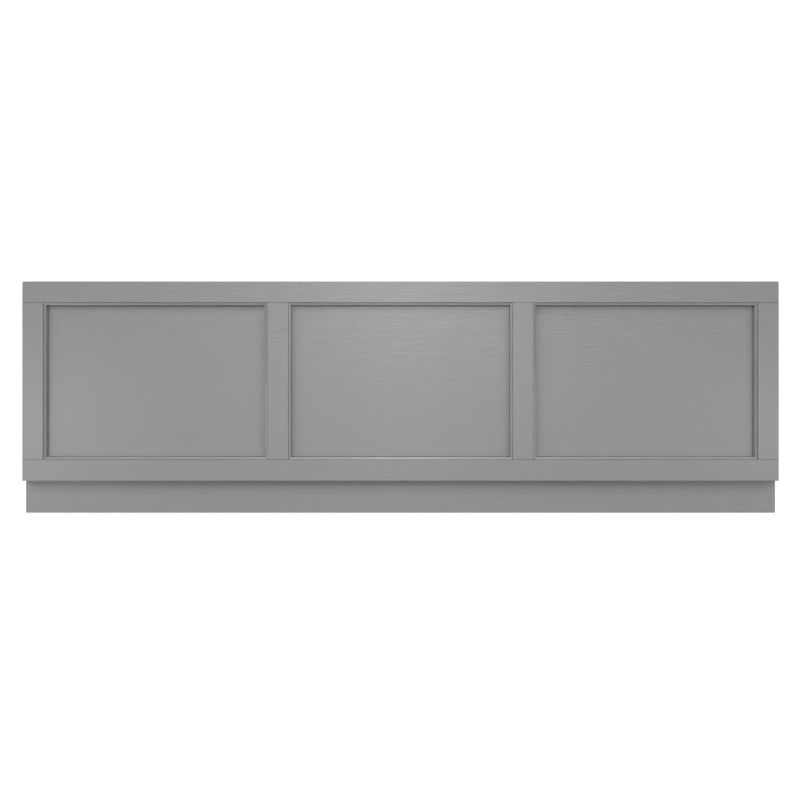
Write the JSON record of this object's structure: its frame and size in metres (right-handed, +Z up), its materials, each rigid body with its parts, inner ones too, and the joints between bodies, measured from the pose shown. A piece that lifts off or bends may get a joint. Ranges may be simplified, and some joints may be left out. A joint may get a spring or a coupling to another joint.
{
  "type": "bath panel",
  "caption": "Framed front panel for the side of a bath, with moulded recessed fields, a satin grey woodgrain finish and a set-back plinth board that slides on screws to suit the bath's height.",
  "frame": {"origin": "on the floor, under the middle of the panel's outline as it lies on its back", "axes": "+X along the panel to the right as its face is seen, +Y to the panel's top edge, +Z up and out of its face"},
  "size_m": [1.79, 0.55, 0.036],
  "materials": {
    "frame": "satin woodgrain foil on fibreboard",
    "infill": "satin woodgrain foil on fibreboard",
    "plinth": "satin woodgrain foil on fibreboard"
  },
  "bodies": {
    "root": {"top_rail": "frame", "bottom_rail": "frame", "left_end_stile": "frame", "right_end_stile": "frame", "mid_stile_1": "frame", "mid_stile_2": "frame", "infill_panel_1": "infill", "infill_panel_2": "infill", "infill_panel_3": "infill", "plinth_board": "plinth"}
  },
  "joints": []
}
